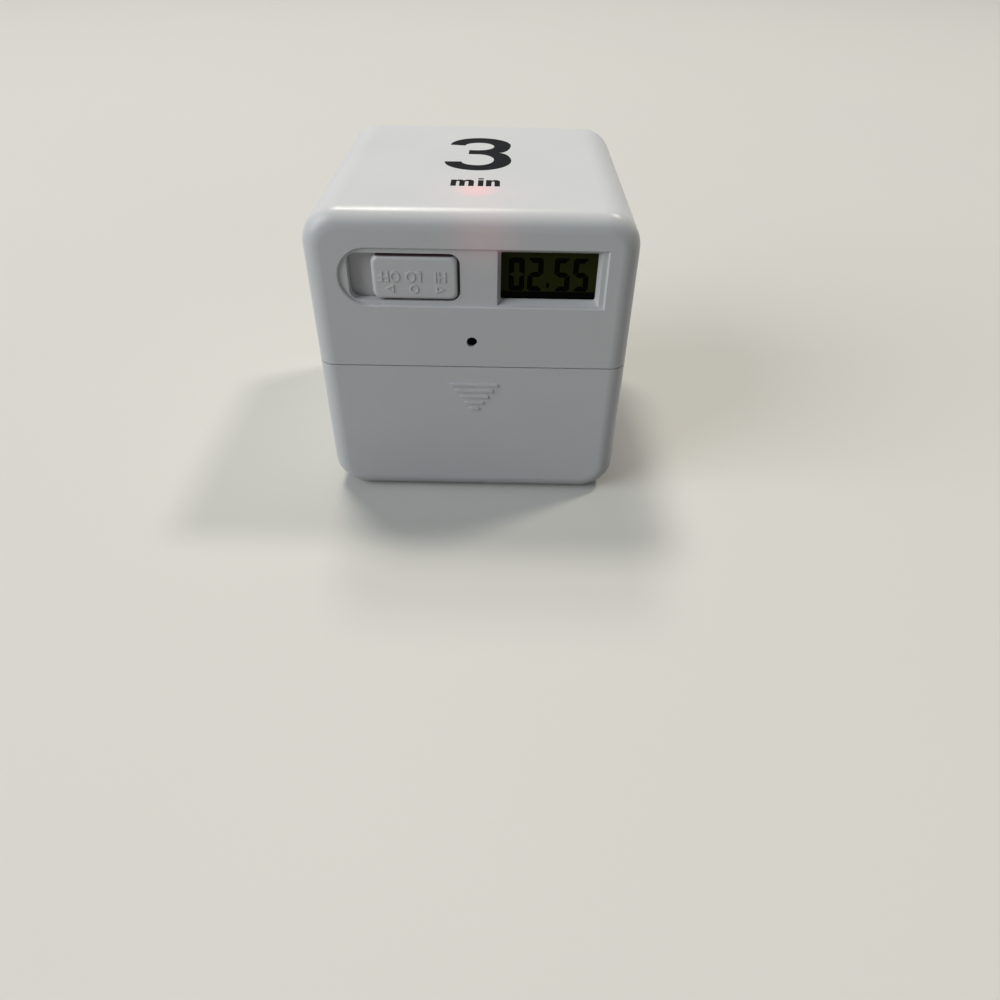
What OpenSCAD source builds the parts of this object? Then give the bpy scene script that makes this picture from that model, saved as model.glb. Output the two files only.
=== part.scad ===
// Cube timer. Origin at the middle of the bottom face, +Z up, display face towards -Y.

/* [Cube] */
// Edge length of the cube, face to face
cube_size = 60; // [58:1:72]
// Radius of the four edges between the numbered faces
edge_r = 6.8; // [5.5:0.1:8]
// Radius round the rims of the display face and the rear face
rim_r = 3.35; // [2.8:0.05:4]
// Wall thickness of the housing and the rear cover
wall = 2.2; // [1.8:0.1:2.6]
// Depth of the rear cover, from the rear face to its seam
rear_depth = 2.2; // [2:0.1:3]
// Length of the rear cover's lip inside the housing
rear_lip = 4; // [3:0.5:6]

/* [Display strip] */
// Height of the shallow strip across the display face
strip_h = 10.5; // [9.8:0.1:12]
// Depth of the strip below the face
strip_depth = 0.5; // [0.3:0.1:0.8]
// Distance from the top face down to the middle of the strip
strip_drop = 11.8; // [11:0.1:13]
// Bevel round the mouth of the strip
strip_bevel = 0.25; // [0.1:0.05:0.3]
// Floor of the strip between its round end and the slot
strip_rim = 1.6; // [1:0.05:2]
// Distance from the cube's right face to the square end of the strip
strip_margin = 5.8; // [5:0.1:7]

/* [Display] */
// Width of the clear opening over the display
window_w = 17.4; // [14:0.1:18]
// Height of the clear opening over the display
window_h = 8.8; // [7:0.1:9.2]
// How far the window's left and right sides slope in from its mouth
window_slope = 0.6; // [0.3:0.05:0.7]
// How far the window's upper and lower sides slope in from its mouth
window_sill = 0.75; // [0.3:0.05:1]
// Depth of the straight land at the window's narrow end
window_land = 0.3; // [0.2:0.05:0.5]
// Radius of the land's corners
window_corner_r = 0.4; // [0.2:0.05:1]
// Ledge between the window's mouth and the end of the strip
window_ledge = 0.9; // [0.5:0.1:1.5]
// Thickness of each display glass
glass_t = 0.9; // [0.5:0.1:1.1]
// Height of the front glass's contact edge below the rear glass
contact_edge = 2.5; // [2.4:0.1:3.2]
// Thickness of the polariser and of the reflector film
film_t = 0.2; // [0.15:0.05:0.3]

/* [Switch] */
// Length of the knob
knob_l = 15.6; // [12:0.1:17]
// Height of the knob
knob_h = 8.2; // [7.5:0.1:8.8]
// Radius of the knob's corners
knob_corner_r = 1.6; // [1.4:0.1:3]
// Radius round the knob's face
knob_rim_r = 0.8; // [0.5:0.1:1]
// How far the knob's face lies below the cube's face
knob_sink = 0.1; // [0:0.05:0.4]
// Travel of the knob, from high through low to off
knob_travel = 4; // [2.4:0.1:4.4]
// Thickness of the knob's flange behind the wall
flange_t = 0.9; // [0.7:0.1:1.1]

/* [Sound] */
// Diameter of the sound hole
sound_d = 2; // [1.5:0.1:3]
// Distance from the middle of the strip down to the sound hole
sound_drop = 12.4; // [12:0.1:13]
// Diameter of the buzzer
buzzer_d = 9; // [8:0.5:10]

/* [Battery bay] */
// Height of the battery cover, up to the seam on the display face
cover_h = 30.4; // [29.6:0.1:31]
// Depth of the battery cover, from the display face to its rear edge
cover_depth = 13.8; // [13.4:0.1:16]
// Wall thickness of the battery cover
cover_wall = 2; // [1.6:0.1:2.2]
// Seam between the battery cover and the housing
cover_seam = 0.2; // [0.1:0.05:0.3]
// Diameter of one cell
cell_d = 10.5; // [10:0.1:10.6]
// Length of one cell with its positive cap
cell_l = 44.5; // [43.5:0.1:45]
// Room for a contact spring, pressed together
spring_l = 4.2; // [3.8:0.1:4.6]
// Thickness of the contact plates
contact_t = 0.4; // [0.3:0.05:0.5]
// Height of the raised arrow bars
arrow_rise = 0.25; // [0.15:0.05:0.4]

/* [Board] */
// Thickness of the board
board_t = 1.6; // [1:0.2:1.6]
// Distance from the inside of the display wall to the board
board_standoff = 5.8; // [5.6:0.1:7]
// Diameter of the tilt switches' cans
tilt_d = 4.4; // [4:0.1:5]
// Diameter of the ball in each tilt switch
ball_d = 3; // [2.6:0.1:3.2]

/* [Hidden] */
$fn = 64;

// Overrun that lets a cut pass clean through a face, or a rib root well into a wall
over = 0.5;
// Clearance between pieces that are slipped together and stay put
fit = 0.15;
// Clearance round a plain shank or pin in its hole
pin_fit = 0.05;

// The cube's faces and the planes behind the display face
half = cube_size / 2;
face_in = wall - half;
strip_floor = strip_depth - half;
board_front = face_in + board_standoff;
board_back = board_front + board_t;
seam_y = half - rear_depth;
lip_t = 1.6;

// The knob, its slot and the strip: at the end of its travel the flange stops where the housing's inner
// corner begins; the strip starts beside the slot and ends short of the right face
knob_gap = 0.3;
flange_lap = 0.6;
flange_end_lap = 0.45;
flange_clear = 0.3;
flange_gap = rim_r - wall;
slot_h = knob_h + 2 * knob_gap;
slot_left = face_in + flange_gap + knob_travel + flange_end_lap;
slot_right = slot_left + knob_l + knob_travel + 2 * knob_gap;
strip_left = slot_left - strip_rim;
strip_right = half - strip_margin;
window_x = strip_right - window_ledge - window_slope - window_w / 2;
knob_x = slot_right - knob_gap - knob_l / 2;
knob_face = knob_sink - half;
knob_wall = 1.2;
flange_left = slot_left - flange_end_lap;
flange_right = slot_right + knob_travel + flange_end_lap;
flange_h = slot_h + 2 * flange_lap;
flange_front = face_in + flange_clear;
flange_back = flange_front + flange_t;
guide_t = 1;

// The display and its stack behind the wall
strip_z = cube_size - strip_drop;
glass_margin = 1.3;
glass_w = window_w + 2 * glass_margin;
glass_left = window_x - glass_w / 2;
glass_right = window_x + glass_w / 2;
glass_top = strip_z + window_h / 2 + glass_margin;
glass_bottom = strip_z - window_h / 2 - glass_margin;
film_front = face_in + pin_fit;
glass_front = film_front + film_t;
glass_mid = glass_front + glass_t;
glass_back = glass_mid + glass_t;
rear_glass_bottom = glass_bottom + contact_edge;
frame_wall = 0.8;
frame_pin_r = 0.6;
rear_glass_w = glass_w - 2 * (frame_wall + fit);
contact_strip_w = glass_w - 4 * (frame_pin_r + fit);
contact_strip_h = 1.2;
contact_strip_low = glass_bottom + frame_wall / 2 + fit;

// The slide switch under the knob
lever_l = 2.4;
lever_h = 2.2;
can_t = 0.4;
can_corner_r = 0.8;
can_front = flange_back + knob_gap;
can_h = 5.4;
slider_l = 5;
can_l = slider_l + knob_travel + 2 * can_t + 2 * knob_gap;
can_x = knob_x - knob_travel / 2;
base_t = 1;
wiper_t = 0.2;
wiper_w = 1.2;
wiper_pitch = 1.8;
slider_back = board_front - base_t - pin_fit - wiper_t;
pin_r = 0.4;
pin_pitch = 2;
pin_tail = 1;
pin_xs = [for (i = [-1.5 : 1 : 1.5]) can_x + i * pin_pitch];

// The battery bay
bay_back = cover_depth + cover_seam - half;
bay_wall = 2;
cover_room = 0.8;
bay_front = cover_wall + cover_room - half;
cell_room = 0.75;
cell_gap = 1.5;
cell_lift = 1.95;
cell_y = bay_back - cell_room - cell_d / 2;
cell_low_z = cover_wall + cell_lift + cell_d / 2;
cell_high_z = cell_low_z + cell_d + cell_gap;
cell_mid_z = (cell_low_z + cell_high_z) / 2;
cell_cap_r = 1.9;
cell_cap_l = 1;
shelf_room = 0.6;
shelf_bottom = cell_high_z + cell_d / 2 + shelf_room;
shelf_top = shelf_bottom + bay_wall;
lap_inset = cover_wall + cover_seam;
cover_line = cover_h + cover_seam;
lap_h = 2.6;
lap_top = cover_h + lap_h;
dimple = 0.5;
dimple_r = 1.6;
bay_half = (cell_l + spring_l + 2 * contact_t + dimple + pin_fit) / 2;
end_wall = 1.5;
end_wall_room = 2.4;
end_wall_low = cover_wall + end_wall_room;
tower_in = 8.025;
tower_x = bay_half - tower_in;
cradle_in = 6;
cradle_x = tower_x - cradle_in;
cradle_t = 1.5;
cradle_depth = 2.5;
cradle_low = cell_low_z - cell_d / 2 + cradle_t;

// The buzzer behind the sound hole
sound_z = strip_z - sound_drop;
collar_l = 1.6;
buzzer_front = face_in + collar_l + fit;
buzzer_wall = 0.8;
buzzer_room = 0.6;
diaphragm_y = buzzer_front + buzzer_wall + buzzer_room;
diaphragm_t = 0.15;
diaphragm_r = buzzer_d / 2 - buzzer_wall - pin_fit;
magnet_gap = 0.3;
magnet_front = diaphragm_y + diaphragm_t + magnet_gap;
magnet_w = 1;
core_r = diaphragm_r / 4;
collar_r = 3.2;
collar_t = 1;

// Rails on the cover run behind guides on the bay's end walls
guide_gap = 0.3;
guide_w = 1.3;
guide_set = 5.2;
guide_y = bay_back - guide_set;
guide_lift = 0.7;
guide_low = edge_r + guide_lift;
rail_w = 1.4;

// Screw towers from the bay to the posts of the rear cover
tower_r = 4.2;
tower_bore_r = 2.75;
tower_l = 19.5;
tower_end = bay_back + tower_l;
tower_floor = 2;
post_r = 3.4;
fin_t = 1.2;
fin_set = 8;
case_screw_r = 1.3;
case_screw_l = 10;
case_head_r = 2.4;
case_head_h = 1.6;
recess_w = 0.5;
recess_share = 1.2;

// The board and what it carries
board_side = 2.8;
board_half = half - wall - board_side;
board_low_gap = 0.8;
board_high_gap = 1.2;
board_bottom = shelf_top + board_low_gap;
board_top = cube_size - wall - board_high_gap;
boss_r = 2.5;
boss_edge = 0.9;
boss_x = board_half - boss_r - boss_edge;
boss_z = board_bottom + boss_r + boss_edge;
board_screw_r = 1;
board_screw_l = 6;
board_head_r = 1.9;
board_head_h = 1.4;
hook_x = 16;
hook_w = 4;
hook_grip = 1.4;
blob_r = 5;
blob_h = 1.6;
blob_in = 15;
blob_x = board_half - blob_in;
blob_drop = 3;
blob_z = strip_z - blob_drop;
crystal_r = 1;
crystal_l = 6;
crystal_in = 6;
crystal_x = board_half - crystal_in;
crystal_drop = 1;
crystal_z = strip_z - crystal_drop;
crystal_tail = 1;
resistor = [1.6, 0.5, 0.8];
resistor_count = 6;
resistor_pitch = 2.6;
resistor_drop = 1.9;
resistor_z = blob_z - blob_r - resistor_drop;
led_r = 1.5;
led_x = 0.5;
led_gap = 0.8;
led_y = board_back + led_r + led_gap;
led_rim_r = 1.9;
led_rim_h = 0.8;
led_l = 5;
led_sink = 0.4;
led_base = board_top - led_l - led_sink;
led_drop = 2;
led_lead_r = 0.25;
led_lead_gap = 1.27;

// Tilt switches, leaning to the left and to the right
tilt_y = board_back + tilt_d / 2 + fit;
tilt_gap = 6;
tilt_x = [can_x - tilt_gap, can_x + tilt_gap];
tilt_drop = 1.3;
tilt_z = strip_z - tilt_drop;
tilt_lean = [-45, 45];
tilt_l = 9;
tilt_wall = 0.4;
tilt_plug_l = 2.4;
tilt_pin_r = 0.25;
tilt_pin_gap = 0.8;
tilt_tail = 1;
ball_seat = tilt_plug_l + pin_fit;

// Contact plates, springs and leads
contact_w = 9;
contact_h = 9.6;
lug_h = 3.6;
lug_out = 2.6;
lug_end = bay_back + bay_wall + lug_out;
spring_wire_r = 0.3;
spring_turns = 3.2;
spring_base_r = 3.6;
spring_tip_r = 2.4;
spring_rings = 8;
spring_sides = 6;
wire_r = 0.6;
wire_sides = 8;
lug_side = contact_t - bay_half + wire_r + pin_fit;
lug_lap = 1.6;
lead_gap = 4.2;
lead_rise = 3.6;
lead_red_path = lead_path([lug_side, lug_end - lug_lap, cell_low_z], -boss_x,
  [[0, 0, 0], [0, 2.4, 0.2], [0, 5, 1.6], [0, 6.4, 5.2], [0, 6.8, 10.8], [0.2, 6.4, 16.8]],
  [[-1.6, 11.7, -7.6], [-0.8, 7.9, -3.4], [-0.2, 3.7, -0.8], [0, 0, 0]]);
lead_black_path = lead_path([lug_side, lug_end - lug_lap, cell_high_z], lead_gap - boss_x,
  [[0, 0, 0], [0, 2, 0.4], [0.6, 3.2, 2.4], [2.4, 3.4, 6.2]],
  [[-2.2, 9.3, -7.4], [-0.8, 6.3, -3.6], [-0.2, 2.9, -1], [0, 0, 0]]);

// Raised arrow on the battery cover
arrow_x = 0.3;
arrow_bars = 5;
arrow_top = 26.5;
arrow_pitch = 1.36;
arrow_bar_h = 0.55;
arrow_long = 9.5;
arrow_short = 2;

// A box between two opposite corners
module span(low, high) translate(low) cube(high - low);

// A drawing in x and z, carried from y0 to y1
module along_y(y0, y1) translate([0, y1, 0]) rotate([90, 0, 0]) linear_extrude(y1 - y0) children();

// A drawing in y and z, carried from x0 to x1
module along_x(x0, x1) translate([x0, 0, 0]) rotate([90, 0, 90]) linear_extrude(x1 - x0) children();

// A round bar or hole along y
module rod(x, z, y0, y1, r) translate([x, y1, z]) rotate([90, 0, 0]) cylinder(h = y1 - y0, r = r);

// The same piece on the left and on the right
module both_sides() for (side = [0, 1]) mirror([side, 0, 0]) children();

module rounded_rect(w, h, r) {
  square([w - 2 * r, h], center = true);
  square([w, h - 2 * r], center = true);
  for (sx = [-1, 1], sy = [-1, 1]) translate([sx * (w / 2 - r), sy * (h / 2 - r)]) circle(r);
}

// A block with its four edges along y rounded by r_edge, and both its end rims by r_rim
module rounded_block(w, d, h, r_edge, r_rim) {
  along_x(r_edge - w / 2, w / 2 - r_edge) rounded_rect(d, h, r_rim);
  linear_extrude(h - 2 * r_edge, center = true) rounded_rect(w, d, r_rim);
  both_sides() for (end = [0, 1]) mirror([0, 0, end])
    translate([w / 2 - r_edge, 0, h / 2 - r_edge]) rotate([90, 0, 0])
      rotate_extrude(angle = 90) intersection() {
        rounded_rect(2 * r_edge, d, r_rim);
        translate([0, -d]) square([r_edge, 2 * d]);
      }
}

// The cube's outer form, drawn in by the given depth and carried on past the rear face
least_r = 0.4;
function inner_r(inset) = max(edge_r - inset, 2 * least_r);
module cube_form(inset = 0, beyond = 0) {
  size = cube_size - 2 * inset;
  translate([0, beyond / 2, half])
    rounded_block(size, size + beyond, size, inner_r(inset), max(rim_r - inset, least_r));
}

// Outline of the cube's form seen along y, drawn in by the given depth
module cube_outline(inset)
  translate([0, half]) rounded_rect(cube_size - 2 * inset, cube_size - 2 * inset, inner_r(inset));

// Course of a lead, given as steps from its lug and steps from its hole in the board
function lead_path(lug, board_x, from_lug, from_board) = concat(
  [for (step = from_lug) lug + step],
  [for (step = from_board) [board_x, board_back + 2 * pin_fit, boss_z + lead_rise] + step]
);

// Tube of a round section swept along a path
function unit(v) = v / norm(v);
function heading(path, i) = unit(path[min(i + 1, len(path) - 1)] - path[max(i - 1, 0)]);
module tube(path, r, sides, lean) {
  points = [
    for (i = [0 : len(path) - 1])
      let (t = heading(path, i), n = unit(cross(lean, t)), b = cross(t, n))
        for (k = [0 : sides - 1])
          path[i] + r * (cos(360 * k / sides) * n + sin(360 * k / sides) * b)
  ];
  last = sides * (len(path) - 1);
  polyhedron(points, concat(
    [for (k = [1 : sides - 2]) [0, k, k + 1]],
    [for (k = [1 : sides - 2]) [last, last + k + 1, last + k]],
    [for (i = [0 : sides : last - 1], k = [0 : sides - 1], half_face = [0, 1])
      let (a = i + k, b = i + (k + 1) % sides)
        half_face == 0 ? [a, a + sides, b] : [b, a + sides, b + sides]]
  ));
}

// Shallow strip across the display face, round at its left end, with a bevelled mouth
module strip_cut() {
  r = strip_h / 2;
  left = strip_left + r;
  flare = strip_bevel + over;
  translate([0, -half, strip_z]) {
    translate([left, 0, 0]) rotate([-90, 0, 0]) rotate_extrude(angle = 180, start = 90)
      polygon([[0, -over], [r + flare, -over], [r, strip_bevel], [r, strip_depth], [0, strip_depth]]);
    intersection() {
      along_x(left, strip_right + flare) polygon([
        [-over, -r - flare], [strip_bevel, -r], [strip_depth, -r],
        [strip_depth, r], [strip_bevel, r], [-over, r + flare]
      ]);
      linear_extrude(4 * r, center = true) polygon([
        [left, -over], [strip_right + flare, -over], [strip_right, strip_bevel],
        [strip_right, strip_depth], [left, strip_depth]
      ]);
    }
  }
}

// Slot of the knob, as much larger than the knob as its travel and gaps need
module slot_outline() translate([(slot_left + slot_right) / 2, 0])
  rounded_rect(slot_right - slot_left, slot_h, knob_corner_r + knob_gap);

// Opening over the display, whose sides slope in like a picture mount to a straight land
module window_cut() {
  depth = face_in - strip_floor;
  steps = [-fit, depth];
  function flare(size, slope) = [
    for (end = [0, 1], s = [-1, 1])
      [(end == 0 ? s : -s) * (size / 2 + slope * (1 - steps[end] / (depth - window_land))), steps[end]]
  ];
  translate([window_x, strip_floor, strip_z]) {
    intersection() {
      linear_extrude(4 * window_h, center = true) polygon(flare(window_w, window_slope));
      rotate([0, 90, 0]) linear_extrude(4 * window_w, center = true) polygon(flare(window_h, window_sill));
    }
    along_y(depth - 2 * window_land, depth + over) rounded_rect(window_w, window_h, window_corner_r);
  }
}

// Walls of the housing with the battery bay's rear wall, shelf and lap behind the cover
module housing_walls() {
  inside = bay_back + bay_wall;
  difference() {
    cube_form();
    difference() {
      cube_form(wall, 2 * wall);
      span([-half, -half, 0], [half, inside, shelf_top]);
      difference() {
        span([-half, -half, 0], [half, inside, lap_top]);
        cube_form(lap_inset + lip_t);
      }
    }
    span([-half - over, seam_y, -over], [half + over, half + over, cube_size + over]);
    span([-half - over, -half - over, -over], [half + over, bay_back, shelf_bottom]);
    difference() {
      span([-half - over, -half - over, -over], [half + over, bay_back, cover_line]);
      cube_form(lap_inset);
    }
  }
}

// End walls, guides and cradles of the bay
module bay_fittings() {
  both_sides() {
    span(
      [bay_half, bay_front, end_wall_low],
      [bay_half + end_wall, bay_back + over, shelf_bottom + over]
    );
    span(
      [bay_half + end_wall - over, guide_y, guide_low],
      [half - cover_wall - guide_gap, guide_y + guide_w, shelf_bottom + over]
    );
    difference() {
      span(
        [cradle_x, bay_back - cradle_depth, cradle_low],
        [cradle_x + cradle_t, bay_back + over, shelf_bottom + over]
      );
      for (z = [cell_low_z, cell_high_z]) translate([0, cell_y, z]) rotate([0, 90, 0])
        cylinder(h = half, r = cell_d / 2 + guide_gap);
    }
  }
}

// Guides of the knob's flange, ribs round the display glass and the buzzer's collar
module display_ribs() {
  rise = flange_h / 2 + knob_gap;
  root = face_in - over;
  end_rib = glass_right + fit;
  for (s = [-1, 1]) translate([0, 0, strip_z + s * (rise + guide_t / 2)])
    span([root, root, -guide_t / 2], [flange_right - knob_travel, flange_back, guide_t / 2]);
  for (z = [glass_bottom - fit - guide_t, glass_top + fit])
    span([glass_left + guide_t, root, z], [end_rib + guide_t, glass_mid, z + guide_t]);
  span([end_rib, root, glass_bottom], [end_rib + guide_t, glass_mid, glass_top]);
  difference() {
    rod(0, sound_z, root, face_in + collar_l, collar_r);
    rod(0, sound_z, root - over, buzzer_front, collar_r - collar_t);
  }
}

// Bosses under the board and hooks over its upper edge
module board_mounts() {
  both_sides() rod(boss_x, boss_z, face_in - over, board_front, boss_r);
  for (x = [-hook_x, hook_x]) difference() {
    span(
      [x - hook_w / 2, board_front - fit - guide_t, board_top - hook_grip],
      [x + hook_w / 2, board_back + fit + guide_t, cube_size - wall + over]
    );
    span(
      [x - hook_w, board_front - fit, board_top - hook_grip - over],
      [x + hook_w, board_back + fit, board_top + fit]
    );
  }
}

module main_housing() color("whitesmoke") difference() {
  union() {
    housing_walls();
    bay_fittings();
    display_ribs();
    board_mounts();
    both_sides() rod(tower_x, cell_mid_z, bay_back + over, tower_end, tower_r);
  }
  strip_cut();
  translate([0, 0, strip_z]) along_y(strip_floor - over, face_in + over) slot_outline();
  window_cut();
  rod(0, sound_z, -half - over, face_in + over, sound_d / 2);
  both_sides() {
    rod(tower_x, cell_mid_z, bay_back - over, tower_end - tower_floor, tower_bore_r);
    rod(tower_x, cell_mid_z, tower_end - tower_floor - over, tower_end + over, case_screw_r + fit);
    rod(boss_x, boss_z, board_front - board_screw_l, board_front + over, board_screw_r + pin_fit);
  }
  for (z = [cell_low_z, cell_high_z]) span(
    [-bay_half - fit, bay_back - over, z - lug_h / 2 - fit],
    [-bay_half + contact_t + fit, bay_back + bay_wall + over, z + lug_h / 2 + fit]
  );
}

module rear_cover() color("whitesmoke") difference() {
  plate = seam_y + fit;
  root = plate + over;
  union() {
    intersection() {
      cube_form();
      span([-cube_size, plate, -cube_size], [cube_size, cube_size, 2 * cube_size]);
    }
    along_y(seam_y - rear_lip, root) difference() {
      cube_outline(wall + fit);
      cube_outline(wall + fit + lip_t);
    }
    both_sides() {
      rod(tower_x, cell_mid_z, tower_end, root, post_r);
      translate([tower_x, 0, cell_mid_z]) for (turn = [0 : 90 : 270]) rotate([0, turn, 0])
        linear_extrude(fin_t, center = true) polygon([
          [0, root], [2 * post_r, root], [post_r - over, tower_end + fin_set], [0, tower_end + fin_set]
        ]);
    }
  }
  both_sides()
    rod(tower_x, cell_mid_z, tower_end - over, tower_end + case_screw_l, case_screw_r + pin_fit);
}

// A screw along y with a cross recess in its head, from the head's face over its seat to its tip
module screw(x, z, face, seat, tip, head_r, shank_r) {
  difference() {
    rod(x, z, min(face, seat), max(face, seat), head_r);
    for (turn = [0, 90]) translate([x, face, z]) rotate([0, turn, 0])
      cube([recess_share * head_r, abs(seat - face), recess_w], center = true);
  }
  rod(x, z, min(seat, tip), max(seat, tip), shank_r);
}

module case_screws() color("silver") both_sides() {
  seat = tower_end - tower_floor;
  screw(tower_x, cell_mid_z, seat - case_head_h, seat, seat + case_screw_l, case_head_r, case_screw_r);
}

module battery_cover() color("whitesmoke") {
  difference() {
    intersection() {
      cube_form();
      span([-cube_size, -cube_size, -over], [cube_size, cover_depth - half, cover_h]);
    }
    cube_form(cover_wall);
  }
  both_sides() span(
    [bay_half + end_wall + guide_gap, guide_y + guide_w + guide_gap, guide_low],
    [half - cover_wall + over, guide_y + guide_w + guide_gap + rail_w, shelf_bottom - guide_gap]
  );
  for (i = [0 : arrow_bars - 1]) {
    bar_l = arrow_long - i * (arrow_long - arrow_short) / (arrow_bars - 1) - arrow_bar_h;
    translate([arrow_x, 0, arrow_top - i * arrow_pitch]) along_y(-half - arrow_rise, over - half) {
      square([bar_l, arrow_bar_h], center = true);
      for (s = [-1, 1]) translate([s * bar_l / 2, 0]) circle(arrow_bar_h / 2);
    }
  }
}

// One flat layer of the display, between two planes and two heights
module lcd_layer(w, low, high, y0, y1)
  span([window_x - w / 2, y0, low], [window_x + w / 2, y1, high]);

module lcd_polariser() color("darkslategray")
  lcd_layer(rear_glass_w, rear_glass_bottom, glass_top - frame_wall, film_front, glass_front);
module lcd_front_glass() color("lightcyan")
  lcd_layer(glass_w, glass_bottom, glass_top, glass_front, glass_mid);
module lcd_rear_glass() color("lightcyan")
  lcd_layer(rear_glass_w, rear_glass_bottom, glass_top - frame_wall - fit, glass_mid, glass_back);
module lcd_reflector() color("darkolivegreen")
  lcd_layer(rear_glass_w, rear_glass_bottom, glass_top - frame_wall - fit, glass_back, glass_back + film_t);

// Pins at two corners of the display frame, or their holes
module frame_pins(y0, y1, r) for (corner = [[glass_left, glass_bottom, 1], [glass_right, glass_top, -1]])
  rod(corner[0] + corner[2] * frame_pin_r, corner[1] + corner[2] * frame_pin_r, y0, y1, r);

// Frame between the front glass and the board, open over the rear glass and the contact strip
module lcd_frame() color("dimgray") {
  cut_front = glass_mid - over;
  cut_back = board_front + over;
  difference() {
    lcd_layer(glass_w, glass_bottom, glass_top, glass_mid, board_front);
    lcd_layer(rear_glass_w + 2 * fit, rear_glass_bottom - fit, glass_top - frame_wall, cut_front, cut_back);
    lcd_layer(
      contact_strip_w + 2 * fit, contact_strip_low - fit, contact_strip_low + contact_strip_h + fit,
      cut_front, cut_back
    );
  }
  frame_pins(board_front - over, board_back + fit, frame_pin_r);
}

module contact_strip() color("black")
  lcd_layer(contact_strip_w, contact_strip_low, contact_strip_low + contact_strip_h, glass_mid, board_front);

// Knob: a hollow cap with a socket for the lever, on a flange that runs behind the wall
module switch_knob() color("whitesmoke") {
  depth = flange_back - knob_face;
  difference() {
    union() {
      intersection() {
        translate([knob_x, flange_back, strip_z])
          rounded_block(knob_l, 2 * depth, knob_h, knob_corner_r, knob_rim_r);
        span([-half, -half, 0], [half, flange_back, cube_size]);
      }
      span(
        [flange_left, flange_front, strip_z - flange_h / 2],
        [flange_right, flange_back, strip_z + flange_h / 2]
      );
    }
    translate([knob_x, 0, strip_z]) along_y(knob_face + knob_wall, flange_back + over)
      rounded_rect(knob_l - 2 * knob_wall, knob_h - 2 * knob_wall, knob_corner_r - knob_wall);
  }
  for (s = [-1, 1]) translate([knob_x + s * (lever_l / 2 + fit + knob_wall / 2), 0, strip_z]) span(
    [-knob_wall / 2, knob_face + knob_wall - over, over - knob_h / 2],
    [knob_wall / 2, flange_back, knob_h / 2 - over]
  );
}

module switch_slider() color("black") {
  front = can_front + can_t + fit;
  rise = can_h / 2 - can_t - knob_gap;
  tip = knob_face + knob_wall + fit;
  translate([knob_x, 0, strip_z]) {
    span([-slider_l / 2, front, -rise], [slider_l / 2, slider_back, rise]);
    span([-lever_l / 2, tip, -lever_h / 2], [lever_l / 2, front + over, lever_h / 2]);
  }
}

module switch_wiper() color("peru") for (s = [-1, 1])
  translate([knob_x, 0, strip_z + s * wiper_pitch / 2])
    span([-pin_pitch, slider_back, -wiper_w / 2], [pin_pitch, slider_back + wiper_t, wiper_w / 2]);

module switch_can() color("silver") translate([can_x, 0, strip_z]) difference() {
  along_y(can_front, board_front) rounded_rect(can_l, can_h, can_corner_r);
  along_y(can_front + can_t, board_front + over)
    rounded_rect(can_l - 2 * can_t, can_h - 2 * can_t, can_corner_r - can_t);
  along_y(can_front - over, board_front)
    square([lever_l + knob_travel + 2 * knob_gap, lever_h + 2 * knob_gap], center = true);
}

module switch_base() color("saddlebrown") difference() {
  inset = 2 * (can_t + pin_fit);
  translate([can_x, 0, strip_z]) along_y(board_front - base_t, board_front)
    rounded_rect(can_l - inset, can_h - inset, can_corner_r - can_t);
  for (x = pin_xs) rod(x, strip_z, board_front - base_t - over, board_front + over, pin_r + pin_fit);
}

module switch_pins() color("gold")
  for (x = pin_xs) rod(x, strip_z, board_front - base_t, board_back + pin_tail, pin_r);

module main_board() color("darkgreen") difference() {
  span([-board_half, board_front, board_bottom], [board_half, board_back, board_top]);
  both_sides() rod(boss_x, boss_z, board_front - over, board_back + over, board_screw_r + fit);
  for (x = pin_xs) rod(x, strip_z, board_front - over, board_back + over, pin_r + pin_fit);
  frame_pins(board_front - over, board_back + over, frame_pin_r + pin_fit);
}

module board_screws() color("silver") both_sides()
  screw(
    boss_x, boss_z, board_back + board_head_h, board_back, board_back + over - board_screw_l,
    board_head_r, board_screw_r
  );

module chip_blob() color("black") {
  dome_r = (blob_r * blob_r + blob_h * blob_h) / (2 * blob_h);
  translate([blob_x, board_back, blob_z]) rotate([-90, 0, 0]) rotate_extrude() intersection() {
    translate([0, blob_h - dome_r]) circle(dome_r, $fn = 256);
    square([blob_r, blob_h]);
  }
}

module crystal() color("silver") translate([crystal_x, board_back + crystal_r, crystal_z]) {
  cylinder(h = crystal_l, r = crystal_r);
  for (s = [-1, 1]) translate([s * crystal_r / 2, 0, 0]) {
    translate([0, 0, -crystal_tail]) cylinder(h = crystal_tail + over, r = led_lead_r);
    translate([0, 0, led_lead_r - crystal_tail]) rotate([90, 0, 0])
      cylinder(h = crystal_r, r = led_lead_r);
  }
}

module chip_resistors() color("dimgray") for (i = [0 : resistor_count - 1])
  translate([i * resistor_pitch, board_back, resistor_z]) cube(resistor);

module alarm_led() color("red") translate([led_x, led_y, led_base]) {
  rotate_extrude() union() {
    square([led_rim_r, led_rim_h]);
    square([led_r, led_l - led_r]);
    intersection() {
      translate([0, led_l - led_r]) circle(led_r);
      translate([0, led_rim_h]) square([led_r, led_l]);
    }
  }
}

module led_leads() color("silver") for (s = [-1, 1])
  translate([led_x + s * led_lead_gap, led_y, led_base - led_drop]) {
    cylinder(h = led_drop, r = led_lead_r);
    translate([0, 0, led_lead_r]) rotate([90, 0, 0]) cylinder(h = led_y - board_back, r = led_lead_r);
  }

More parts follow.
